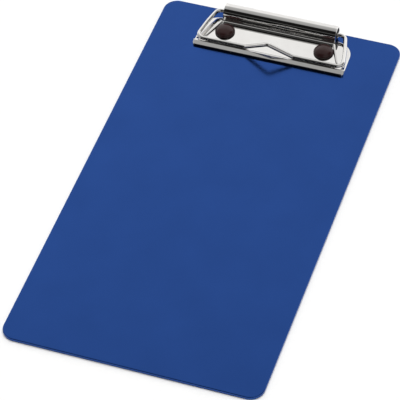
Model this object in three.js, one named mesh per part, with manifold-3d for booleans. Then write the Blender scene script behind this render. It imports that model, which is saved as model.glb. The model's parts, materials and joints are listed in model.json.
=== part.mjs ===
// A narrow clipboard for bills and order pads: a blue metal board with a sprung wire-bail clip riveted on.
// The clip's upper plate is rolled into a barrel, and the wire bail turns in it against two torsion springs.
// Millimetres. X runs across the board, Y towards the clip's end, Z up from the board's back at Z 0.
import * as THREE from "three";
import { mergeVertices } from "three/addons/utils/BufferGeometryUtils.js";
import Module from "manifold-3d";

const wasm = await Module();
wasm.setup();

// --- Driving dimensions ---
const board = { width: 120, length: 225, thickness: 1.5, cornerRadius: 6.7 };
const topEdge = board.length / 2;

const basePlate = {
  frontHalf: 38, // half width at the front corners
  rearHalf: 37.6, // half width where the rear corners' rounding starts
  rearInset: 6.5, // rear edge to the board's top edge
  notchHalf: 29.2, // the rear edge is cut back behind the barrel
  notchInset: 7.6,
  thickness: 1.2,
  rearRadius: 9,
  frontRadius: 1.2,
  eyeX: 36.7, // small pierced eyes beside the front corners
  eyeInset: 23.7,
  eyeRadius: 0.6,
};
// The base plate's front edge is a hem as high as the hinge plate, and slopes down to the board.
const hem = {
  rearInset: 25.55,
  crestInset: 26.2,
  footInset: 28.05,
  footHeight: 1.2,
  frontInset: 28.3,
  noseHeight: 0.95,
};

const hingePlate = {
  sheet: 0.8,
  frontHalf: 36.6,
  frontInset: 25.45,
  frontRadius: 3,
  shoulderHalf: 28.8, // where the sloping sides end
  shoulderInset: 10.6,
  barrelInset: 9.4, // where the sheet is as narrow as the barrel
  flangeRearInset: 10.9, // the turned-up sides run from here to flangeFrontInset
  flangeFrontInset: 21.5,
  flangeRear: 1.3,
  flangeFront: 0.6,
};
const barrel = {
  inset: 5.1,
  height: 4.18, // its middle, above the board
  outerRadius: 4.15,
  halfLength: 28.4,
  filletRadius: 1.2, // the hollow curve that leads up from the flat plate
  freeEdgeAngle: 72, // below the level of the middle, at the back
};

const bail = {
  wireRadius: 1,
  shaftEnd: 14, // inner end of each pivot shaft
  elbowX: 32.3,
  elbowRadius: 3,
  bowX: 34.9, // the arms bow outwards a little
  bowInset: 14,
  bowRadius: 60,
  frontX: 36.9,
  barInset: 25,
  cornerRadius: 3,
  tabHalf: 11.9, // the raised finger tab in the middle of the front bar
  tabHeight: 6.7,
  tabLean: 2, // how far its point stands in front of the bar
  tabRadius: 1.6,
  gap: 0.1, // between the bar and the plate that it presses on
};

const bush = { length: 4, recess: 0.4, outerRadius: 3.25, boreRadius: 1.07 };
const spring = { wireRadius: 0.4, meanRadius: 2.6, turns: 7, pitch: 0.95, legLength: 2 };

const rivet = {
  x: 24.9,
  inset: 16.8,
  capRadius: 4.85,
  capFootRadius: 4.5,
  capHeight: 2.9,
  capRoof: 0.8,
  rimHeight: 0.9,
  socketRadius: 1.8,
  shankRadius: 1.75,
  holeRadius: 1.85,
  headRadius: 3.5,
  headThickness: 0.8,
  headRecess: 0.1,
  clearance: 0.1,
};

// --- Heights and places worked out from them ---
const fromTop = (inset) => topEdge - inset;
const baseFloor = board.thickness;
const baseTop = baseFloor + basePlate.thickness;
const hingeTop = baseTop + hingePlate.sheet;
const barZ = hingeTop + bail.gap + bail.wireRadius;

const pivotY = fromTop(barrel.inset);
const pivotZ = board.thickness + barrel.height;
const filletZ = hingeTop + barrel.filletRadius;
const filletReach = barrel.outerRadius + barrel.filletRadius;
const meetingAngle = Math.asin((filletZ - pivotZ) / filletReach); // where the fillet runs into the barrel
const filletY = pivotY - filletReach * Math.cos(meetingAngle);

// --- Materials, one for each sub-part ---
const metal = (color, roughness) => new THREE.MeshStandardMaterial({ color, roughness, metalness: 1 });
const matt = (color, roughness) => new THREE.MeshStandardMaterial({ color, roughness, metalness: 0 });
const colours = { anodised: 0x294a8f, chrome: 0xe6e4df, brown: 0x352726, steel: 0xb4b2ae, nylon: 0x18171a };

// --- Solids ---
function solid(geometry) {
  geometry.deleteAttribute("normal");
  geometry.deleteAttribute("uv");
  const merged = mergeVertices(geometry.index ? geometry.toNonIndexed() : geometry, 1e-4);
  const vertProperties = merged.attributes.position.array;
  return new wasm.Manifold(
    new wasm.Mesh({ numProp: 3, vertProperties, triVerts: new Uint32Array(merged.index.array) }),
  );
}

function geometryOf(manifold) {
  const mesh = manifold.getMesh();
  const geometry = new THREE.BufferGeometry();
  geometry.setAttribute("position", new THREE.BufferAttribute(new Float32Array(mesh.vertProperties), 3));
  geometry.setIndex(new THREE.BufferAttribute(new Uint32Array(mesh.triVerts), 1));
  return geometry;
}

// A flat outline in X and Y, raised from one height to another.
function slab(shape, low, high) {
  const settings = { depth: high - low, bevelEnabled: false, curveSegments: 10 };
  return new THREE.ExtrudeGeometry(shape, settings).translate(0, 0, low);
}

// A profile in Y and Z, run along X to both sides of the middle.
function alongX(shape, halfLength) {
  const settings = { depth: 2 * halfLength, bevelEnabled: false, curveSegments: 24 };
  return new THREE.ExtrudeGeometry(shape, settings)
    .translate(0, 0, -halfLength)
    .applyMatrix4(new THREE.Matrix4().set(0, 0, 1, 0, 1, 0, 0, 0, 0, 1, 0, 0, 0, 0, 0, 1));
}

// A polygon whose corners are rounded: each corner is [x, y, radius of its tangent curve].
function roundedShape(corners) {
  const shape = new THREE.Shape();
  corners.forEach(([x, y, radius], i) => {
    const here = new THREE.Vector2(x, y);
    const towards = (other) => new THREE.Vector2(other[0], other[1]).sub(here).normalize();
    const before = towards(corners.at(i - 1));
    const after = towards(corners[(i + 1) % corners.length]);
    const reach = radius / Math.tan(before.angleTo(after) / 2);
    const start = here.clone().addScaledVector(before, reach);
    const end = here.clone().addScaledVector(after, reach);
    if (i === 0) shape.moveTo(start.x, start.y);
    else shape.lineTo(start.x, start.y);
    if (radius > 0) shape.bezierCurveTo(...bulge(start, here), ...bulge(end, here), end.x, end.y);
  });
  shape.closePath();
  return shape;
}

// The control point that makes a Bezier corner close to a circular arc.
function bulge(from, corner) {
  const arcFactor = 0.5523;
  return from.clone().lerp(corner, arcFactor).toArray();
}

function upright(radius, low, high, x, y, segments = 24) {
  return new THREE.CylinderGeometry(radius, radius, high - low, segments)
    .rotateX(Math.PI / 2)
    .translate(x, y, (low + high) / 2);
}

function crosswise(radius, left, right, y, z, segments = 32) {
  return new THREE.CylinderGeometry(radius, radius, right - left, segments)
    .rotateZ(Math.PI / 2)
    .translate((left + right) / 2, y, z);
}

const sides = [
  { name: "left", sign: -1 },
  { name: "right", sign: 1 },
];

function cutRivetHoles(body, low, high, radius = rivet.holeRadius) {
  let result = body;
  for (const { sign } of sides) {
    result = result.subtract(solid(upright(radius, low, high, sign * rivet.x, fromTop(rivet.inset))));
  }
  return result;
}

// --- Board ---
function boardGeometry() {
  const x = board.width / 2;
  const r = board.cornerRadius;
  const outline = roundedShape([[-x, -topEdge, r], [x, -topEdge, r], [x, topEdge, r], [-x, topEdge, r]]);
  const sheet = cutRivetHoles(solid(slab(outline, 0, board.thickness)), -1, board.thickness + 1);
  const headDepth = rivet.headRecess + rivet.headThickness;
  return geometryOf(cutRivetHoles(sheet, -1, headDepth, rivet.headRadius + rivet.clearance));
}

// --- Base plate with its hemmed front edge ---
function basePlateGeometry() {
  const rear = fromTop(basePlate.rearInset);
  const front = fromTop(hem.frontInset);
  const section = new THREE.Shape();
  section.moveTo(rear, baseFloor);
  section.lineTo(front, baseFloor);
  section.lineTo(front, baseFloor + hem.noseHeight);
  section.lineTo(fromTop(hem.footInset), baseFloor + hem.footHeight);
  section.lineTo(fromTop(hem.crestInset), hingeTop);
  section.lineTo(fromTop(hem.rearInset), hingeTop);
  section.lineTo(fromTop(hem.rearInset), baseTop);
  section.lineTo(rear, baseTop);
  section.closePath();
  const outline = roundedShape([
    [-basePlate.frontHalf, front, basePlate.frontRadius],
    [basePlate.frontHalf, front, basePlate.frontRadius],
    [basePlate.rearHalf, rear, basePlate.rearRadius],
    [-basePlate.rearHalf, rear, basePlate.rearRadius],
  ]);
  const top = hingeTop + 1;
  let plate = solid(alongX(section, basePlate.frontHalf + 1)).intersect(solid(slab(outline, 0, top)));
  plate = cutRivetHoles(plate, 0, top);
  const { notchHalf, notchInset } = basePlate;
  const notch = new THREE.BoxGeometry(2 * notchHalf, notchInset, 2 * top);
  plate = plate.subtract(solid(notch.translate(0, topEdge - notchInset / 2, 0)));
  const { eyeX, eyeInset, eyeRadius } = basePlate;
  for (const { sign } of sides) {
    plate = plate.subtract(solid(upright(eyeRadius, 0, top, sign * eyeX, fromTop(eyeInset), 16)));
  }
  return geometryOf(plate);
}

// --- Hinge plate: flat plate, fillet, rolled barrel and turned-up side flanges from one sheet ---
function hingeSection() {
  const front = fromTop(hingePlate.frontInset);
  const quarter = Math.PI / 2;
  const barrelStart = Math.PI - meetingAngle;
  const barrelEnd = -THREE.MathUtils.degToRad(barrel.freeEdgeAngle);
  const { outerRadius, filletRadius } = barrel;
  const { sheet } = hingePlate;
  const section = new THREE.Shape();
  section.moveTo(front, baseTop);
  section.lineTo(filletY, baseTop);
  section.absarc(filletY, filletZ, filletRadius + sheet, -quarter, -meetingAngle, false);
  section.absarc(pivotY, pivotZ, outerRadius - sheet, barrelStart, barrelEnd, true);
  section.absarc(pivotY, pivotZ, outerRadius, barrelEnd, barrelStart, false);
  section.absarc(filletY, filletZ, filletRadius, -meetingAngle, -quarter, true);
  section.lineTo(front, hingeTop);
  section.closePath();
  return section;
}

// Half the plate's width at an inset, along its sloping side.
function hingeHalf(inset) {
  const { frontHalf, frontInset, shoulderHalf, shoulderInset } = hingePlate;
  return THREE.MathUtils.mapLinear(inset, shoulderInset, frontInset, shoulderHalf, frontHalf);
}

// One side flange, a thin wall whose height falls towards the front.
function flangeGeometry(sign) {
  const { sheet, flangeRearInset, flangeFrontInset } = hingePlate;
  const foot = baseTop + sheet / 2;
  const rear = new THREE.Vector2(hingeHalf(flangeRearInset), fromTop(flangeRearInset));
  const front = new THREE.Vector2(hingeHalf(flangeFrontInset), fromTop(flangeFrontInset));
  const length = rear.distanceTo(front);
  const wall = new THREE.Shape();
  wall.moveTo(0, foot);
  wall.lineTo(length, foot);
  wall.lineTo(length, hingeTop + hingePlate.flangeFront);
  wall.lineTo(0, hingeTop + hingePlate.flangeRear);
  wall.closePath();
  const geometry = new THREE.ExtrudeGeometry(wall, { depth: sheet, bevelEnabled: false })
    .rotateX(Math.PI / 2)
    .rotateZ(front.sub(rear).angle())
    .translate(rear.x, rear.y, 0);
  return sign > 0 ? geometry : mirroredX(geometry);
}

function mirroredX(geometry) {
  const flipped = geometry.index ? geometry.toNonIndexed() : geometry;
  const positions = flipped.attributes.position;
  for (let i = 0; i < positions.count; i += 3) {
    const [a, b, c] = [0, 1, 2].map((k) => new THREE.Vector3().fromBufferAttribute(positions, i + k));
    [a, c, b].forEach((point, k) => positions.setXYZ(i + k, -point.x, point.y, point.z));
  }
  return flipped;
}

function hingePlateGeometry() {
  const half = [
    [hingePlate.frontHalf, fromTop(hingePlate.frontInset), hingePlate.frontRadius],
    [hingePlate.shoulderHalf, fromTop(hingePlate.shoulderInset), 0],
    [barrel.halfLength, fromTop(hingePlate.barrelInset), 0],
    [barrel.halfLength, topEdge, 0],
  ];
  const outline = roundedShape([...half, ...half.toReversed().map(([x, ...rest]) => [-x, ...rest])]);
  const top = pivotZ + barrel.outerRadius + 1;
  const sheet = solid(alongX(hingeSection(), hingePlate.frontHalf + 1));
  let plate = sheet.intersect(solid(slab(outline, 0, top)));
  for (const { sign } of sides) plate = plate.add(solid(flangeGeometry(sign)));
  return geometryOf(cutRivetHoles(plate, 0, hingeTop + 1));
}

// --- Wire bail ---
// The centre line is straight runs joined by tangent curves, from one pivot shaft round to the other.
function bailPath() {
  const barY = fromTop(bail.barInset);
  const bowY = fromTop(bail.bowInset);
  const half = [
    [bail.shaftEnd, pivotY, pivotZ, 0],
    [bail.elbowX, pivotY, pivotZ, bail.elbowRadius],
    [bail.bowX, bowY, THREE.MathUtils.mapLinear(bowY, pivotY, barY, pivotZ, barZ), bail.bowRadius],
    [bail.frontX, barY, barZ, bail.cornerRadius],
    [bail.tabHalf, barY, barZ, bail.tabRadius],
  ];
  const tab = [0, barY - bail.tabLean, barZ + bail.tabHeight, bail.tabRadius];
  const mirrored = half.map(([x, ...rest]) => [-x, ...rest]);
  const corners = [...mirrored, tab, ...half.toReversed()];
  const path = new THREE.CurvePath();
  const points = corners.map(([x, y, z]) => new THREE.Vector3(x, y, z));
  let from = points[0];
  for (let i = 1; i < points.length - 1; i++) {
    const before = points[i - 1].clone().sub(points[i]).normalize();
    const after = points[i + 1].clone().sub(points[i]).normalize();
    const reach = corners[i][3] / Math.tan(before.angleTo(after) / 2);
    const start = points[i].clone().addScaledVector(before, reach);
    const end = points[i].clone().addScaledVector(after, reach);
    path.add(new THREE.LineCurve3(from, start));
    path.add(new THREE.QuadraticBezierCurve3(start, points[i], end));
    from = end;
  }
  path.add(new THREE.LineCurve3(from, points.at(-1)));
  return path;
}

function roundSection(radius, sectionSides) {
  const section = new THREE.Shape();
  for (let i = 0; i < sectionSides; i++) {
    const angle = (2 * Math.PI * i) / sectionSides;
    const [x, y] = [radius * Math.cos(angle), radius * Math.sin(angle)];
    if (i === 0) section.moveTo(x, y);
    else section.lineTo(x, y);
  }
  section.closePath();
  return section;
}

function wireGeometry(path, radius, sectionSides, steps) {
  const settings = { steps, extrudePath: path, bevelEnabled: false };
  return new THREE.ExtrudeGeometry(roundSection(radius, sectionSides), settings);
}

// --- Bushes that centre the bail's shafts in the barrel ---
function bushGeometry(sign) {
  const outerEnd = barrel.halfLength - bush.recess;
  const [left, right] = [sign * outerEnd, sign * (outerEnd - bush.length)].sort((a, b) => a - b);
  const body = solid(crosswise(bush.outerRadius, left, right, pivotY, pivotZ, 40));
  const bore = solid(crosswise(bush.boreRadius, left - 1, right + 1, pivotY, pivotZ, 24));
  return geometryOf(body.subtract(bore));
}

// --- Torsion springs, coiled round the shafts, each with a straight leg at both ends ---
class SpringCurve extends THREE.Curve {
  constructor(sign) {
    super();
    this.sign = sign;
    this.start = barrel.halfLength - bush.recess - bush.length - spring.legLength - spring.wireRadius;
    this.coilLength = 2 * Math.PI * spring.meanRadius * spring.turns;
    this.length = this.coilLength + 2 * spring.legLength;
  }

  getPoint(t, target = new THREE.Vector3()) {
    const travelled = t * this.length - spring.legLength;
    const onCoil = THREE.MathUtils.clamp(travelled, 0, this.coilLength);
    const leg = travelled - onCoil;
    const angle = onCoil / spring.meanRadius - Math.PI / 2;
    const across = this.start - (onCoil / this.coilLength) * spring.turns * spring.pitch;
    const y = spring.meanRadius * Math.cos(angle);
    const z = spring.meanRadius * Math.sin(angle);
    return target.set(this.sign * (across - leg), pivotY + y, pivotZ + z);
  }
}

// --- Rivets: a domed cap in front, pressed on a post whose flat head sits in the board's back ---
function rivetCapGeometry() {
  const rise = rivet.capHeight - rivet.rimHeight;
  const profile = [new THREE.Vector2(rivet.socketRadius, 0), new THREE.Vector2(rivet.capFootRadius, 0)];
  profile.push(new THREE.Vector2(rivet.capRadius, rivet.capRadius - rivet.capFootRadius));
  const steps = 12;
  for (let i = 0; i <= steps; i++) {
    const angle = (Math.PI / 2) * (i / steps);
    const radius = rivet.capRadius * Math.cos(angle);
    profile.push(new THREE.Vector2(i === steps ? 0 : radius, rivet.rimHeight + rise * Math.sin(angle)));
  }
  const socketTop = rivet.capHeight - rivet.capRoof;
  profile.push(new THREE.Vector2(0, socketTop), new THREE.Vector2(rivet.socketRadius, socketTop));
  profile.push(profile[0].clone());
  return new THREE.LatheGeometry(profile, 32).rotateX(Math.PI / 2).translate(0, 0, hingeTop);
}

function rivetPostGeometry() {
  const headTop = rivet.headRecess + rivet.headThickness;
  const shankTop = hingeTop + rivet.capHeight - rivet.capRoof - rivet.clearance;
  const profile = [
    new THREE.Vector2(0, rivet.headRecess),
    new THREE.Vector2(rivet.headRadius, rivet.headRecess),
    new THREE.Vector2(rivet.headRadius, headTop),
    new THREE.Vector2(rivet.shankRadius, headTop),
    new THREE.Vector2(rivet.shankRadius, shankTop),
    new THREE.Vector2(0, shankTop),
  ];
  return new THREE.LatheGeometry(profile, 24).rotateX(Math.PI / 2);
}

// --- Assembly ---
const clipboard = new THREE.Group();

function place(name, geometry, material, x = 0, y = 0) {
  const mesh = new THREE.Mesh(geometry, material);
  mesh.name = name;
  mesh.position.set(x, y, 0);
  clipboard.add(mesh);
}

place("board_panel", boardGeometry(), metal(colours.anodised, 0.3));
place("base_plate", basePlateGeometry(), metal(colours.chrome, 0.1));
place("hinge_plate", hingePlateGeometry(), metal(colours.chrome, 0.08));
place("wire_bail", wireGeometry(bailPath(), bail.wireRadius, 12, 150), metal(colours.chrome, 0.06));
for (const { name, sign } of sides) {
  const y = fromTop(rivet.inset);
  place(`barrel_bush_${name}`, bushGeometry(sign), matt(colours.nylon, 0.6));
  const coil = wireGeometry(new SpringCurve(sign), spring.wireRadius, 6, spring.turns * 16);
  place(`torsion_spring_${name}`, coil, metal(colours.steel, 0.3));
  place(`rivet_cap_${name}`, rivetCapGeometry(), matt(colours.brown, 0.25), sign * rivet.x, y);
  place(`rivet_post_${name}`, rivetPostGeometry(), metal(colours.steel, 0.3), sign * rivet.x, y);
}

export default clipboard;
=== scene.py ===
"""A narrow clipboard: a blue anodised board with a chromed clip, whose wire bail turns in a rolled barrel."""
import json
import math

import bmesh
import bpy
from mathutils import Matrix, Vector


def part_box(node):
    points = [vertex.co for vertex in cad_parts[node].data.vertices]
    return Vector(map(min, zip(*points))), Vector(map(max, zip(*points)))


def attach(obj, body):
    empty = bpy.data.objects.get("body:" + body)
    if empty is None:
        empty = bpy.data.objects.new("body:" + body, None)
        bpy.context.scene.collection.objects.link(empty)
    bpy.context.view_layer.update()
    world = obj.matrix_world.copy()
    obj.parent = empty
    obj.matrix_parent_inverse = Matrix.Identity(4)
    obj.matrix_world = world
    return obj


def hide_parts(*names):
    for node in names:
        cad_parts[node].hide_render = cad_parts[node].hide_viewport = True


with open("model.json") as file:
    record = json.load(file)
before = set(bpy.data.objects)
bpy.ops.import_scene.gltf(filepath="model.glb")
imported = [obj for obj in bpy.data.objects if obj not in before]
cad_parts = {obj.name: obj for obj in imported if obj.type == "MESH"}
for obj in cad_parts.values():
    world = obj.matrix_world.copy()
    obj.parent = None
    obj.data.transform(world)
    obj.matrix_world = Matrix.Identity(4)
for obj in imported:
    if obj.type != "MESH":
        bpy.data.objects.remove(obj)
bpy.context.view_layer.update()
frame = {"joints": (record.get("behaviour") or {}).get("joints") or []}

MM = 0.001

# --- Places and sizes taken from the frame ---
_, BOARD_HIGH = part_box("board_panel")
BASE_LOW, BASE_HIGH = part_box("base_plate")
HINGE_LOW, HINGE_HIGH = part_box("hinge_plate")
BAIL_PIVOT = next(joint for joint in frame["joints"] if joint["name"] == "bail_pivot")["pos_m"]
SIDES = (("left", -1), ("right", 1))

TOP_EDGE = BOARD_HIGH.y
PIVOT_Y, PIVOT_Z = BAIL_PIVOT[1], BAIL_PIVOT[2]


def from_top(millimetres):
    return TOP_EDGE - millimetres * MM


# --- Sizes of the finer shapes, in metres ---
BOARD_CORNER = 6.7 * MM
BOARD_EDGE = 0.35 * MM

SHEET = 0.8 * MM
HINGE_TOP = BASE_HIGH.z
BASE_TOP = HINGE_TOP - SHEET
BASE_REAR_CORNER = 9 * MM
BASE_FRONT_CORNER = 1.2 * MM
BASE_REAR_TAPER = 0.4 * MM
NOTCH_HALF, NOTCH_Y = 29.2 * MM, from_top(7.6)
BASE_EDGE = 0.55 * MM
HEM_REAR, HEM_CREST, HEM_FOOT = from_top(25.55), from_top(26.2), from_top(28.05)
HEM_FOOT_RISE, HEM_NOSE_RISE = 1.2 * MM, 0.95 * MM
EYE_X, EYE_Y, EYE_RADIUS = 36.7 * MM, from_top(23.7), 0.6 * MM

BARREL_RADIUS = HINGE_HIGH.z - PIVOT_Z
BARREL_HALF = 28.4 * MM
BARREL_FREE_EDGE = math.radians(72)
FILLET_RADIUS = 1.2 * MM
FILLET_Z = HINGE_TOP + FILLET_RADIUS
MEETING_ANGLE = math.asin((FILLET_Z - PIVOT_Z) / (BARREL_RADIUS + FILLET_RADIUS))
FILLET_Y = PIVOT_Y - (BARREL_RADIUS + FILLET_RADIUS) * math.cos(MEETING_ANGLE)
HINGE_FRONT_HALF, HINGE_FRONT_CORNER = HINGE_HIGH.x, 3 * MM
SHOULDER_HALF, SHOULDER_Y, BARREL_START_Y = 28.8 * MM, from_top(10.6), from_top(9.4)
FLANGE_REAR_Y, FLANGE_FRONT_Y = from_top(10.9), from_top(21.5)
FLANGE_REAR, FLANGE_FRONT = 1.3 * MM, 0.6 * MM
FLANGE_BEND = 0.7 * MM
EDGE_STRIP = 2 * MM  # a strip of its own along each side keeps the wide faces between them shaded evenly

WIRE_RADIUS = 0.985 * MM
SHAFT_END = 14 * MM
ELBOW_X, ELBOW_RADIUS = 32.3 * MM, 3 * MM
BOW_X, BOW_Y, BOW_RADIUS = 34.9 * MM, from_top(14), 60 * MM
BAR_X, BAR_Y, BAR_CORNER_RADIUS = 36.9 * MM, from_top(25), 3 * MM
BAR_Z = HINGE_TOP + 1.1 * MM  # a small gap above the plate
TAB_HALF, TAB_HEIGHT, TAB_LEAN, TAB_RADIUS = 11.9 * MM, 6.7 * MM, 2 * MM, 1.6 * MM

RIVET_HOLE, RIVET_SHANK = 1.85 * MM, 1.75 * MM
RIVET_HEAD, HEAD_CLEARANCE = 0.8 * MM, 0.1 * MM
CAP_SOCKET, CAP_ROOF = 1.8 * MM, 0.8 * MM
SPRING_WIRE = 0.4 * MM
DRILL_LOW, DRILL_HIGH = -1 * MM, 6 * MM  # cutters reach past both faces of every sheet

LARGE_FACE = 20 * MM ** 2


# --- Mesh building ---
def finish_object(name, mesh, material, body, nodes, smooth_angle=35):
    """Makes the piece, smooths it up to an angle, ties it to its body and material slot, and hides the CAD
    nodes it stands for.
    """
    mesh.shade_smooth()
    mesh.set_sharp_from_angle(angle=math.radians(smooth_angle))
    for face in mesh.polygons:
        face.use_smooth = face.area < LARGE_FACE
    mesh = flat_faces_kept(mesh)
    mesh.materials.clear()
    mesh.materials.append(material)
    piece = bpy.data.objects.new(name, mesh)
    bpy.context.scene.collection.objects.link(piece)
    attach(piece, body)
    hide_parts(*nodes)
    return piece


def mesh_from(name, vertices, faces):
    mesh = bpy.data.meshes.new(name)
    mesh.from_pydata([tuple(v) for v in vertices], [], faces)
    work = bmesh.new()
    work.from_mesh(mesh)
    bmesh.ops.remove_doubles(work, verts=work.verts, dist=1e-7)
    bmesh.ops.recalc_face_normals(work, faces=work.faces)
    work.to_mesh(mesh)
    work.free()
    return mesh


def evaluated(mesh, add_modifiers):
    """The mesh after modifiers that add_modifiers puts on a temporary object."""
    holder = bpy.data.objects.new("holder", mesh)
    bpy.context.scene.collection.objects.link(holder)
    add_modifiers(holder)
    graph = bpy.context.evaluated_depsgraph_get()
    result = bpy.data.meshes.new_from_object(holder.evaluated_get(graph))
    bpy.data.objects.remove(holder)
    return result


def combine(mesh, others, operation):
    """mesh joined with, or cut by, the other meshes."""
    tools = []
    for other in others:
        tool = bpy.data.objects.new("tool", other)
        bpy.context.scene.collection.objects.link(tool)
        tools.append(tool)

    def booleans(holder):
        for tool in tools:
            modifier = holder.modifiers.new("combine", "BOOLEAN")
            modifier.operation = operation
            modifier.solver = "EXACT"
            modifier.object = tool

    result = evaluated(mesh, booleans)
    for tool in tools:
        bpy.data.objects.remove(tool)
    return result


def flat_faces_kept(mesh):
    """mesh with normals weighted by face area, so that large faces shade flat beside narrow curved ones."""

    def weight(holder):
        modifier = holder.modifiers.new("weighted_normals", "WEIGHTED_NORMAL")
        modifier.keep_sharp = True
        modifier.weight = 100

    return evaluated(mesh, weight)


def rounded_edges(mesh, width, segments=3, angle=40):
    """mesh with its sharp edges rounded."""

    def bevel(holder):
        modifier = holder.modifiers.new("bevel", "BEVEL")
        modifier.width = width
        modifier.segments = segments
        modifier.limit_method = "ANGLE"
        modifier.angle_limit = math.radians(angle)
        modifier.miter_outer = "MITER_ARC"

    return evaluated(mesh, bevel)


def outline(corners, steps=12):
    """Points round a polygon whose corners, [x, y, radius], are rounded by true arcs."""
    points = []
    for i, (x, y, radius) in enumerate(corners):
        here = Vector((x, y))
        before = (Vector(corners[i - 1][:2]) - here).normalized()
        after = (Vector(corners[(i + 1) % len(corners)][:2]) - here).normalized()
        arc = corner_arc(here.to_3d(), before.to_3d(), after.to_3d(), radius, steps)
        points += [p.to_2d() for p in arc]
    return points


def corner_arc(corner, before, after, radius, steps):
    """Points of the arc that rounds a corner between the unit directions before and after."""
    if radius <= 0:
        return [corner]
    half = before.angle(after) / 2
    reach = radius / math.tan(half)
    centre = corner + (before + after).normalized() * (radius / math.sin(half))
    start = corner + before * reach - centre
    end = corner + after * reach - centre
    sweep = start.angle(end)
    points = []
    for k in range(steps + 1):
        t = k / steps
        weights = math.sin((1 - t) * sweep) / math.sin(sweep), math.sin(t * sweep) / math.sin(sweep)
        points.append(centre + start * weights[0] + end * weights[1])
    return points


def stacked(name, loops):
    """A closed solid from loops of equal length, one above another, closed by flat faces."""
    count = len(loops[0])
    vertices = [point for loop in loops for point in loop]
    faces = [tuple(reversed(range(count)))]
    for level in range(len(loops) - 1):
        for i in range(count):
            j = (i + 1) % count
            low, high = level * count, (level + 1) * count
            faces.append((low + i, low + j, high + j, high + i))
    faces.append(tuple((len(loops) - 1) * count + i for i in range(count)))
    return mesh_from(name, vertices, faces)


def tube(name, points, radius, sides):
    """A round wire along points, with slightly rounded ends."""
    tangents = []
    for i, point in enumerate(points):
        ahead = points[min(i + 1, len(points) - 1)]
        behind = points[max(i - 1, 0)]
        tangents.append((ahead - behind).normalized())
    side = tangents[0].orthogonal().normalized()
    rings = []
    for i, (point, tangent) in enumerate(zip(points, tangents)):
        side = (side - tangent * side.dot(tangent)).normalized()
        other = tangent.cross(side)
        rings.append((point, tangent, side.copy(), other))
    first, last = rings[0], rings[-1]
    edge = 0.25 * radius
    steps = [(first[0], first, radius - edge)]
    steps += [(first[0] + first[1] * edge, first, radius)]
    steps += [(ring[0], ring, radius) for ring in rings[1:-1]]
    steps += [(last[0] - last[1] * edge, last, radius)]
    steps += [(last[0], last, radius - edge)]
    loops = []
    for point, (_, _, across, other), size in steps:
        angles = [2 * math.pi * k / sides for k in range(sides)]
        loops.append([point + across * (size * math.cos(a)) + other * (size * math.sin(a)) for a in angles])
    return stacked(name, loops)


def rod(name, radius, start, end, sides=64):
    return tube(name, [start, start.lerp(end, 0.5), end], radius, sides)


def drill(radius, x, y, low, high, segments=48):
    """A plain upright cylinder to cut with."""
    angles = [2 * math.pi * k / segments for k in range(segments)]
    circle = [(x + radius * math.cos(a), y + radius * math.sin(a)) for a in angles]
    return stacked("drill", [[Vector((px, py, z)) for px, py in circle] for z in (low, high)])


# --- Materials ---
class Shader:
    """A Principled material, and the nodes that give it detail."""

    def __init__(self, name, **values):
        self.material = bpy.data.materials.new(name)
        self.material.use_nodes = True
        self.tree = self.material.node_tree
        self.principled = next(n for n in self.tree.nodes if n.type == "BSDF_PRINCIPLED")
        for socket, value in values.items():
            self.principled.inputs[socket.replace("_", " ")].default_value = value
        self.coordinates = self.tree.nodes.new("ShaderNodeTexCoord").outputs["Object"]

    def link(self, output, target):
        self.tree.links.new(output, target)

    def noise(self, scale, detail=2.0, stretch=(1, 1, 1)):
        """Noise with features about 1/scale metres wide, drawn out along an axis by a small stretch."""
        mapping = self.tree.nodes.new("ShaderNodeMapping")
        mapping.inputs["Scale"].default_value = [scale * s for s in stretch]
        self.link(self.coordinates, mapping.inputs["Vector"])
        node = self.tree.nodes.new("ShaderNodeTexNoise")
        node.inputs["Scale"].default_value = 1
        node.inputs["Detail"].default_value = detail
        self.link(mapping.outputs["Vector"], node.inputs["Vector"])
        return node.outputs["Fac"]

    def between(self, factor, low, high, start=0.3, end=0.7):
        """A number that runs from low to high as factor goes from start to end."""
        node = self.tree.nodes.new("ShaderNodeMapRange")
        for socket, value in (("From Min", start), ("From Max", end), ("To Min", low), ("To Max", high)):
            node.inputs[socket].default_value = value
        self.link(factor, node.inputs["Value"])
        return node.outputs["Result"]

    def roughness(self, factor, low, high):
        self.link(self.between(factor, low, high), self.principled.inputs["Roughness"])

    def colour(self, factor, low, high):
        node = self.tree.nodes.new("ShaderNodeMix")
        node.data_type = "RGBA"
        node.inputs["A"].default_value = (*low, 1)
        node.inputs["B"].default_value = (*high, 1)
        self.link(self.between(factor, 0, 1), node.inputs["Factor"])
        self.link(node.outputs["Result"], self.principled.inputs["Base Color"])

    def bumps(self, layers):
        """Stacks bump maps: each layer is (height output, distance in metres, strength)."""
        normal = None
        for height, distance, strength in layers:
            node = self.tree.nodes.new("ShaderNodeBump")
            node.inputs["Distance"].default_value = distance
            node.inputs["Strength"].default_value = strength
            self.link(height, node.inputs["Height"])
            if normal:
                self.link(normal, node.inputs["Normal"])
            normal = node.outputs["Normal"]
        self.link(normal, self.principled.inputs["Normal"])


def anodised_blue():
    shader = Shader("anodised_blue", Metallic=1.0)
    clouds = shader.noise(45, detail=4)
    grain = shader.noise(9000, detail=2)
    shader.colour(clouds, (0.0245, 0.0765, 0.300), (0.0265, 0.0825, 0.322))
    shader.roughness(grain, 0.17, 0.23)
    shader.bumps([(shader.noise(30, detail=1), 0.02 * MM, 0.2), (grain, 0.004 * MM, 0.25)])
    return shader.material


def chrome(name, low, high):
    """Bright plating: nearly a mirror, with the faint waviness of pressed sheet and fine marks."""
    shader = Shader(name, Metallic=1.0)
    marks = shader.noise(2500, detail=2)
    shader.colour(shader.noise(120, detail=2), (0.86, 0.850, 0.835), (0.90, 0.892, 0.88))
    shader.roughness(marks, low, high)
    shader.bumps([(shader.noise(60, detail=1), 0.01 * MM, 0.08)])
    return shader.material


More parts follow.
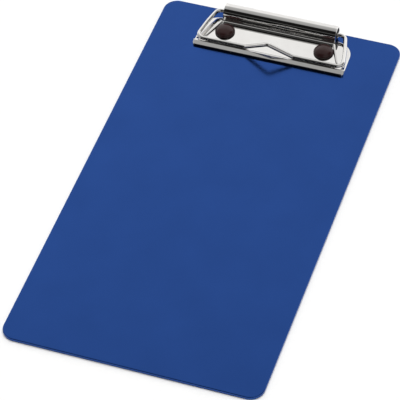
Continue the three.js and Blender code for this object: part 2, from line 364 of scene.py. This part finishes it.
def brown_lacquer():
    shader = Shader("brown_lacquer", Coat_Weight=0.15, Coat_Roughness=0.12, Specular_IOR_Level=0.3)
    speckle = shader.noise(5000, detail=3)
    shader.colour(shader.noise(350, detail=3), (0.024, 0.0095, 0.0095), (0.030, 0.0125, 0.0125))
    shader.roughness(speckle, 0.14, 0.2)
    shader.bumps([(shader.noise(600, detail=2), 0.01 * MM, 0.2), (speckle, 0.002 * MM, 0.15)])
    return shader.material


def plain_steel():
    shader = Shader("plain_steel", Metallic=1.0)
    turning = shader.noise(3500, detail=2)
    shader.colour(shader.noise(300), (0.42, 0.41, 0.40), (0.52, 0.51, 0.49))
    shader.roughness(turning, 0.24, 0.36)
    shader.bumps([(turning, 0.004 * MM, 0.4)])
    return shader.material


def black_nylon():
    shader = Shader("black_nylon")
    grain = shader.noise(4000, detail=2)
    shader.colour(shader.noise(500), (0.010, 0.010, 0.011), (0.016, 0.016, 0.017))
    shader.roughness(grain, 0.5, 0.65)
    shader.bumps([(grain, 0.01 * MM, 0.4)])
    return shader.material


def paper_white():
    shader = Shader("pale_floor")
    grain = shader.noise(400, detail=3)
    shader.colour(grain, (0.93, 0.93, 0.93), (0.95, 0.95, 0.95))
    shader.roughness(grain, 0.8, 0.9)
    return shader.material


# --- Board ---
def board_mesh():
    half_x, half_y = BOARD_HIGH.x, BOARD_HIGH.y
    steps = 5
    levels = []
    for k in range(steps + 1):
        angle = math.pi / 2 * k / steps
        levels.append((BOARD_EDGE * (1 - math.sin(angle)), BOARD_EDGE * (1 - math.cos(angle))))
    levels += [(inset, BOARD_HIGH.z - height) for inset, height in reversed(levels)]
    loops = []
    for inset, z in levels:
        x, y, radius = half_x - inset, half_y - inset, BOARD_CORNER - inset
        corners = [(-x, -y, radius), (x, -y, radius), (x, y, radius), (-x, y, radius)]
        loops.append([Vector((px, py, z)) for px, py in outline(corners, steps=20)])
    mesh = stacked("board", loops)
    rivet_low, rivet_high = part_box("rivet_post_right")
    head_radius = (rivet_high.x - rivet_low.x) / 2 + HEAD_CLEARANCE
    head_top = rivet_low.z + RIVET_HEAD
    x, y = (rivet_low.x + rivet_high.x) / 2, (rivet_low.y + rivet_high.y) / 2
    cutters = []
    for _, sign in SIDES:
        cutters.append(drill(head_radius, sign * x, y, DRILL_LOW, head_top))
        cutters.append(drill(RIVET_HOLE, sign * x, y, DRILL_LOW, DRILL_HIGH))
    return combine(mesh, cutters, "DIFFERENCE")


# --- Base plate ---
def hem_profile():
    """The sloping front edge's section, [y, z], from behind its crest down to the board, edges eased."""
    corners = [
        (HEM_REAR, BASE_LOW.z, 0), (HEM_REAR, HINGE_TOP, 0.12 * MM), (HEM_CREST, HINGE_TOP, 0.5 * MM),
        (HEM_FOOT, BASE_LOW.z + HEM_FOOT_RISE, 0.3 * MM),
        (BASE_LOW.y, BASE_LOW.z + HEM_NOSE_RISE, 0.3 * MM),
        (BASE_LOW.y, BASE_LOW.z, 0),
    ]
    return outline(corners, steps=6)


def base_plate_mesh():
    """A flat plate with rounded rear corners, joined to the hem along its front."""
    front_half = BASE_HIGH.x
    rear_half = front_half - BASE_REAR_TAPER
    steps = 5
    levels = [(0, BASE_LOW.z)]
    for k in range(steps + 1):
        angle = math.pi / 2 * k / steps
        levels.append((BASE_EDGE * (1 - math.cos(angle)), BASE_TOP - BASE_EDGE * (1 - math.sin(angle))))
    loops = []
    hidden_corner = 0.2 * MM  # these corners lie inside the hem
    for inset, z in levels:
        corners = [
            (-front_half + inset, HEM_CREST, hidden_corner), (front_half - inset, HEM_CREST, hidden_corner),
            (rear_half - inset, BASE_HIGH.y - inset, BASE_REAR_CORNER - inset),
            (-rear_half + inset, BASE_HIGH.y - inset, BASE_REAR_CORNER - inset),
        ]
        loops.append([Vector((px, py, z)) for px, py in outline(corners, steps=18)])
    plate = stacked("base_plate", loops)
    hem_loops = []
    for sign, angles in ((-1, range(90, -1, -15)), (1, range(0, 91, 15))):
        for degrees in angles:
            turn = math.radians(degrees)
            x = sign * (front_half - BASE_FRONT_CORNER * (1 - math.sin(turn)))
            share = 1 - BASE_FRONT_CORNER * (1 - math.cos(turn)) / (HEM_REAR - BASE_LOW.y)
            loop = [Vector((x, HEM_REAR + (y - HEM_REAR) * share, z)) for y, z in hem_profile()]
            hem_loops.append(loop)
    plate = combine(plate, [stacked("hem", hem_loops)], "UNION")
    notch = [(-NOTCH_HALF, NOTCH_Y), (NOTCH_HALF, NOTCH_Y), (NOTCH_HALF, TOP_EDGE), (-NOTCH_HALF, TOP_EDGE)]
    cutters = [stacked("notch", [[Vector((x, y, z)) for x, y in notch] for z in (DRILL_LOW, DRILL_HIGH)])]
    for name, sign in SIDES:
        low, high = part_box(f"rivet_post_{name}")
        cutters.append(drill(RIVET_HOLE, (low.x + high.x) / 2, (low.y + high.y) / 2, DRILL_LOW, DRILL_HIGH))
        cutters.append(drill(EYE_RADIUS, sign * EYE_X, EYE_Y, DRILL_LOW, DRILL_HIGH, 32))
    return combine(plate, cutters, "DIFFERENCE")


# --- Hinge plate: flat plate, fillet, barrel and flanges from one sheet ---
def hinge_half_width(y):
    """Half the sheet's width at y, before its front corners are rounded."""
    if y >= BARREL_START_Y:
        return BARREL_HALF
    if y >= SHOULDER_Y:
        part = (y - SHOULDER_Y) / (BARREL_START_Y - SHOULDER_Y)
        return SHOULDER_HALF + (BARREL_HALF - SHOULDER_HALF) * part
    part = (SHOULDER_Y - y) / (SHOULDER_Y - HINGE_LOW.y)
    return SHOULDER_HALF + (HINGE_FRONT_HALF - SHOULDER_HALF) * part


def hinge_front_corner():
    """Points [x, y] round the right front corner, from the front edge back to the sloping side."""
    corner = Vector((HINGE_FRONT_HALF, HINGE_LOW.y, 0))
    shoulder = Vector((SHOULDER_HALF, SHOULDER_Y, 0))
    along_side = (shoulder - corner).normalized()
    return [p.to_2d() for p in corner_arc(corner, Vector((-1, 0, 0)), along_side, HINGE_FRONT_CORNER, 14)]


def on_arc(centre_y, centre_z, radius, angle):
    return centre_y + radius * math.cos(angle), centre_z + radius * math.sin(angle)


def hinge_sheet_mesh():
    """The sheet as rows across X: along the flat, up the fillet and round the barrel to its free edge."""
    rows = [(p.x, (p.y, HINGE_TOP), (p.y, BASE_TOP)) for p in hinge_front_corner()]
    rows.append((hinge_half_width(FILLET_Y), (FILLET_Y, HINGE_TOP), (FILLET_Y, BASE_TOP)))
    fillet_steps, barrel_steps = 24, 120
    for k in range(1, fillet_steps + 1):
        angle = -math.pi / 2 + (math.pi / 2 - MEETING_ANGLE) * k / fillet_steps
        seen = on_arc(FILLET_Y, FILLET_Z, FILLET_RADIUS, angle)
        hidden = on_arc(FILLET_Y, FILLET_Z, FILLET_RADIUS + SHEET, angle)
        rows.append((hinge_half_width(seen[0]), seen, hidden))
    for k in range(1, barrel_steps + 1):
        angle = math.pi - MEETING_ANGLE - (math.pi - MEETING_ANGLE + BARREL_FREE_EDGE) * k / barrel_steps
        seen = on_arc(PIVOT_Y, PIVOT_Z, BARREL_RADIUS, angle)
        hidden = on_arc(PIVOT_Y, PIVOT_Z, BARREL_RADIUS - SHEET, angle)
        rows.append((BARREL_HALF, seen, hidden))
    vertices, faces = [], []
    for half, near, far in rows:
        for x in (-half, EDGE_STRIP - half, half - EDGE_STRIP, half):
            vertices += [Vector((x, *near)), Vector((x, *far))]
    columns = 4

    def at(row, column, layer):
        return (row * columns + column) * 2 + layer

    def edge_face(row, column, next_row, next_column):
        here, ahead = (row, column), (next_row, next_column)
        return at(*here, 0), at(*ahead, 0), at(*ahead, 1), at(*here, 1)

    last_row, last_column = len(rows) - 1, columns - 1
    for column in range(last_column):
        for row in range(last_row):
            for layer in (0, 1):
                here, across = at(row, column, layer), at(row, column + 1, layer)
                faces.append((here, across, at(row + 1, column + 1, layer), at(row + 1, column, layer)))
        for row in (0, last_row):
            faces.append(edge_face(row, column, row, column + 1))
    for row in range(last_row):
        for column in (0, last_column):
            faces.append(edge_face(row, column, row + 1, column))
    return mesh_from("hinge_sheet", vertices, faces)


def flange_mesh(sign):
    """One turned-up side, with the inside radius of its bend. Its height falls from rear to front."""
    overlap = 0.02 * MM
    steps = 6
    runout, runout_height = 1 * MM, 0.12 * MM
    loops = []
    heights = (
        (FLANGE_REAR_Y, FLANGE_REAR),
        (FLANGE_FRONT_Y, FLANGE_FRONT),
        (FLANGE_FRONT_Y - runout, runout_height),
    )
    for y, height in heights:
        outer = hinge_half_width(y) + overlap
        top = HINGE_TOP + height
        bend = min(FLANGE_BEND, height * 0.8)
        section = [(outer - SHEET - bend, BASE_TOP + overlap), (outer, BASE_TOP + overlap), (outer, top)]
        section.append((outer - SHEET, top))
        for k in range(steps + 1):
            angle = math.pi / 2 * k / steps
            x = outer - SHEET - bend * (1 - math.cos(angle))
            section.append((x, HINGE_TOP + bend * (1 - math.sin(angle))))
        loops.append([Vector((sign * x, y, z)) for x, z in section])
    return stacked("flange", loops)


def hinge_plate_mesh():
    plate = combine(hinge_sheet_mesh(), [flange_mesh(sign) for _, sign in SIDES], "UNION")
    cutters = []
    for name, _ in SIDES:
        low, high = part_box(f"rivet_post_{name}")
        cutters.append(drill(RIVET_HOLE, (low.x + high.x) / 2, (low.y + high.y) / 2, DRILL_LOW, DRILL_HIGH))
    plate = combine(plate, cutters, "DIFFERENCE")
    sheet_edge = 0.12 * MM
    return rounded_edges(plate, sheet_edge)


# --- Wire bail ---
def bail_points():
    bow_share = (PIVOT_Y - BOW_Y) / (PIVOT_Y - BAR_Y)
    half = [
        (SHAFT_END, PIVOT_Y, PIVOT_Z, 0),
        (ELBOW_X, PIVOT_Y, PIVOT_Z, ELBOW_RADIUS),
        (BOW_X, BOW_Y, PIVOT_Z + (BAR_Z - PIVOT_Z) * bow_share, BOW_RADIUS),
        (BAR_X, BAR_Y, BAR_Z, BAR_CORNER_RADIUS),
        (TAB_HALF, BAR_Y, BAR_Z, TAB_RADIUS),
    ]
    tab = [(0, BAR_Y - TAB_LEAN, BAR_Z + TAB_HEIGHT, TAB_RADIUS)]
    corners = [(-x, y, z, r) for x, y, z, r in half] + tab + half[::-1]
    points = [Vector(corners[0][:3])]
    for before, here, after in zip(corners, corners[1:], corners[2:]):
        corner = Vector(here[:3])
        to_before = (Vector(before[:3]) - corner).normalized()
        to_after = (Vector(after[:3]) - corner).normalized()
        points += corner_arc(corner, to_before, to_after, here[3], 14)
    points.append(Vector(corners[-1][:3]))
    return points


# --- Rivets ---
def rivet_cap_mesh(node):
    """A domed cap with a rolled rim and a socket below for the post."""
    low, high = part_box(node)
    radius = (high.x - low.x) / 2
    height = high.z - low.z
    rim = 0.55 * MM
    shoulder = 0.95 * MM
    profile = [(CAP_SOCKET, 0), (radius - rim, 0)]
    steps = 8
    for k in range(1, steps + 1):
        angle = -math.pi / 2 + math.pi * 0.8 * k / steps
        profile.append((radius - rim + rim * math.cos(angle), rim + rim * math.sin(angle)))
    start_radius, start_height = profile[-1]
    groove = (start_radius - 0.1 * MM, max(shoulder, start_height))
    dome_steps = 20
    for k in range(dome_steps + 1):
        angle = math.pi / 2 * k / dome_steps
        rise = (height - groove[1]) * math.sin(angle) ** 1.15
        profile.append((groove[0] * math.cos(angle) ** 0.9 if k < dome_steps else 0, groove[1] + rise))
    depth = height - CAP_ROOF
    profile += [(0, depth), (CAP_SOCKET, depth)]
    centre = Vector(((low.x + high.x) / 2, (low.y + high.y) / 2, low.z))
    return solid_lathe(node, profile, 96, centre)


def solid_lathe(name, profile, segments, centre):
    """A lathe whose profile touches the axis inside its run, closed back to its first point."""
    vertices, faces, rows = [], [], []
    for radius, height in profile:
        if radius <= 1e-9:
            rows.append([len(vertices)])
            vertices.append(centre + Vector((0, 0, height)))
            continue
        rows.append(list(range(len(vertices), len(vertices) + segments)))
        for k in range(segments):
            angle = 2 * math.pi * k / segments
            vertices.append(centre + Vector((radius * math.cos(angle), radius * math.sin(angle), height)))
    for row, above in zip(rows, rows[1:] + rows[:1]):
        if len(row) == 1 and len(above) == 1:
            continue
        for k in range(segments):
            j = (k + 1) % segments
            corners = [row[k % len(row)], row[j % len(row)], above[j % len(above)], above[k % len(above)]]
            faces.append(tuple(dict.fromkeys(corners)))
    return mesh_from(name, vertices, faces)


def rivet_post_mesh(node):
    low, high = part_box(node)
    radius = (high.x - low.x) / 2
    length = high.z - low.z
    edge = 0.12 * MM
    profile = [
        (0, 0.04 * MM), (radius * 0.35, 0.03 * MM), (radius - edge * 2, 0), (radius - edge * 0.3, edge * 0.3),
        (radius, edge), (radius, RIVET_HEAD), (RIVET_SHANK, RIVET_HEAD),
        (RIVET_SHANK, length - edge), (RIVET_SHANK - edge, length), (0, length),
    ]
    centre = Vector(((low.x + high.x) / 2, (low.y + high.y) / 2, low.z))
    return solid_lathe(node, profile, 64, centre)


# --- Bushes and springs in the barrel ---
def bush_mesh(node):
    low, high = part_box(node)
    radius, length = (high.z - low.z) / 2, high.x - low.x
    bore, edge = 1.07 * MM, 0.25 * MM
    profile = [
        (bore + edge, 0), (radius - edge, 0), (radius, edge), (radius, length - edge),
        (radius - edge, length), (bore + edge, length), (bore, length - edge), (bore, edge),
    ]
    mesh = solid_lathe(node, profile, 64, Vector((0, 0, -length / 2)))
    turn = Matrix.Rotation(math.pi / 2, 4, "Y")
    middle = Vector(((low.x + high.x) / 2, (low.y + high.y) / 2, (low.z + high.z) / 2))
    mesh.transform(Matrix.Translation(middle) @ turn)
    return mesh


def spring_points(sign):
    mean, turns, pitch, leg = 2.6 * MM, 7, 0.95 * MM, 2 * MM
    low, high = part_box("torsion_spring_right")
    start = high.x - leg
    points = [Vector((sign * high.x, PIVOT_Y, PIVOT_Z - mean))]
    steps = turns * 32
    for k in range(steps + 1):
        angle = 2 * math.pi * turns * k / steps - math.pi / 2
        across = start - turns * pitch * k / steps
        points.append(Vector((sign * across, *on_arc(PIVOT_Y, PIVOT_Z, mean, angle))))
    points.append(Vector((sign * low.x, PIVOT_Y, PIVOT_Z - mean)))
    return points


# --- Setting ---
def floor():
    size = 3.0
    corners = [(-size, -size, 0), (size, -size, 0), (size, size, 0), (-size, size, 0)]
    mesh = mesh_from("floor", [Vector(c) for c in corners], [(0, 1, 2, 3)])
    mesh.materials.append(paper_white())
    plane = bpy.data.objects.new("floor", mesh)
    bpy.context.scene.collection.objects.link(plane)


def studio():
    """A white tent with a dark front, which polished metal mirrors as dark bands with one faint line."""
    world = bpy.data.worlds.new("studio")
    bpy.context.scene.world = world
    world.use_nodes = True
    tree = world.node_tree
    background = next(n for n in tree.nodes if n.type == "BACKGROUND")
    split = tree.nodes.new("ShaderNodeSeparateXYZ")
    direction = tree.nodes.new("ShaderNodeTexCoord").outputs["Generated"]
    tree.links.new(direction, split.inputs[0])

    def math_node(operation, first, second):
        node = tree.nodes.new("ShaderNodeMath")
        node.operation = operation
        for value, socket in zip((first, second), node.inputs):
            if isinstance(value, (int, float)):
                socket.default_value = value
            else:
                tree.links.new(value, socket)
        return node.outputs[0]

    def stepped(value, low, high, at_low, at_high):
        node = tree.nodes.new("ShaderNodeMapRange")
        names = ("From Min", "From Max", "To Min", "To Max")
        for socket, number in zip(names, (low, high, at_low, at_high)):
            node.inputs[socket].default_value = number
        tree.links.new(value, node.inputs["Value"])
        return node.outputs["Result"]

    def ramp(angle_share, stops):
        node = tree.nodes.new("ShaderNodeValToRGB")
        tree.links.new(angle_share, node.inputs[0])
        while len(node.color_ramp.elements) < len(stops):
            node.color_ramp.elements.new(0.5)
        for element, (degrees, level) in zip(node.color_ramp.elements, stops):
            element.position = degrees / 180
            element.color = (level, level * 0.995, level * 0.985, 1)
        return node.outputs["Color"]

    # The angle is measured over the object from the front horizon, and runs to 180 degrees at the back.
    forward = math_node("MULTIPLY", split.outputs["Y"], -1)
    share = math_node("DIVIDE", math_node("ARCTAN2", split.outputs["Z"], forward), math.pi)
    back = [(118, 0.48), (126, 0.86), (135, 1.0)]
    faint_line = [(31.5, 0.12), (35, 0.12)]
    dark_front = [(0, 0.005), (30, 0.01)] + faint_line + [(36.5, 0.01), (73, 0.01), (80, 0.38)]
    card = ramp(share, dark_front + back)
    open_tent = ramp(share, [(0, 0.25), (60, 0.4)] + back)

    def distance_from(across):
        """How far the direction's share along X is from across."""
        return math_node("ABSOLUTE", math_node("SUBTRACT", split.outputs["X"], across), 0)

    card_side = stepped(distance_from(-0.24), 0.30, 0.55, 0, 1)
    tent = tree.nodes.new("ShaderNodeMix")
    tent.data_type = "RGBA"
    tree.links.new(card, tent.inputs["A"])
    tree.links.new(open_tent, tent.inputs["B"])
    tree.links.new(card_side, tent.inputs["Factor"])
    seen = tree.nodes.new("ShaderNodeMix")
    seen.data_type = "RGBA"
    seen.inputs["B"].default_value = (1, 1, 1, 1)
    tree.links.new(tent.outputs["Result"], seen.inputs["A"])
    camera_ray = tree.nodes.new("ShaderNodeLightPath").outputs["Is Camera Ray"]
    tree.links.new(camera_ray, seen.inputs["Factor"])
    tree.links.new(seen.outputs["Result"], background.inputs["Color"])
    dark_side = tree.nodes.new("ShaderNodeVectorMath")
    dark_side.operation = "DOT_PRODUCT"
    dark_side.inputs[1].default_value = (0.767, 0.256, 0.588)
    tree.links.new(direction, dark_side.inputs[0])
    side_level = stepped(dark_side.outputs["Value"], 0.91, 0.95, 1.0, 0.05)
    falloff = stepped(distance_from(-0.16), 0, 0.14, 0.86, 1.0)
    camera_share = tree.nodes.new("ShaderNodeMix")
    camera_share.inputs["B"].default_value = 1
    tree.links.new(math_node("MULTIPLY", falloff, side_level), camera_share.inputs["A"])
    tree.links.new(camera_ray, camera_share.inputs["Factor"])
    tree.links.new(camera_share.outputs["Result"], background.inputs["Strength"])
    sun = bpy.data.objects.new("top_light", bpy.data.lights.new("top_light", "SUN"))
    sun.data.energy = 2.2
    sun.data.angle = math.radians(50)
    sun.visible_glossy = False
    sun.rotation_euler = (math.radians(-12), 0, 0)
    bpy.context.scene.collection.objects.link(sun)


def camera():
    """A long lens, turned and tilted by angles in degrees, with the board's middle a little off centre."""
    azimuth, elevation, roll = (math.radians(a) for a in (20.8, 47.5, -2.75))
    distance, offset_x, offset_y = 1.1025, 5.1 * MM, -6.4 * MM
    lens = 216.2
    level_share = math.cos(elevation)
    back = Vector((math.sin(azimuth) * level_share, -math.cos(azimuth) * level_share, math.sin(elevation)))
    level = (-back).cross(Vector((0, 0, 1))).normalized()
    upright = level.cross(-back)
    right = level * math.cos(roll) + upright * math.sin(roll)
    up = upright * math.cos(roll) - level * math.sin(roll)
    data = bpy.data.cameras.new("camera")
    data.lens = lens
    data.sensor_width = 36
    data.clip_start = 0.05
    data.clip_end = 20
    rig = bpy.data.objects.new("camera", data)
    turn = Matrix((right, up, back)).transposed().to_4x4()
    rig.matrix_world = Matrix.Translation(back * distance - right * offset_x + up * offset_y) @ turn
    bpy.context.scene.collection.objects.link(rig)
    bpy.context.scene.camera = rig


def clipboard():
    plating = chrome("chromed_plate", 0.03, 0.05)
    wire = chrome("chromed_wire", 0.03, 0.05)
    steel, brown, nylon = plain_steel(), brown_lacquer(), black_nylon()
    fixed = "clipboard"
    finish_object("board", board_mesh(), anodised_blue(), fixed, ["board_panel"])
    finish_object("clip_base", base_plate_mesh(), plating, fixed, ["base_plate"])
    finish_object("clip_hinge", hinge_plate_mesh(), plating, fixed, ["hinge_plate"])
    bail = tube("bail", bail_points(), WIRE_RADIUS, 32)
    finish_object("bail", bail, wire, "bail", ["wire_bail"])
    for name, sign in SIDES:
        cap, post = f"rivet_cap_{name}", f"rivet_post_{name}"
        bush, spring = f"barrel_bush_{name}", f"torsion_spring_{name}"
        finish_object(f"cap_{name}", rivet_cap_mesh(cap), brown, fixed, [cap])
        finish_object(f"post_{name}", rivet_post_mesh(post), steel, fixed, [post])
        finish_object(f"bush_{name}", bush_mesh(bush), nylon, fixed, [bush])
        coil = tube(f"spring_{name}", spring_points(sign), SPRING_WIRE, 12)
        finish_object(f"spring_{name}", coil, steel, fixed, [spring])


camera()
floor()
studio()
clipboard()
bpy.context.scene.view_settings.view_transform = "Standard"
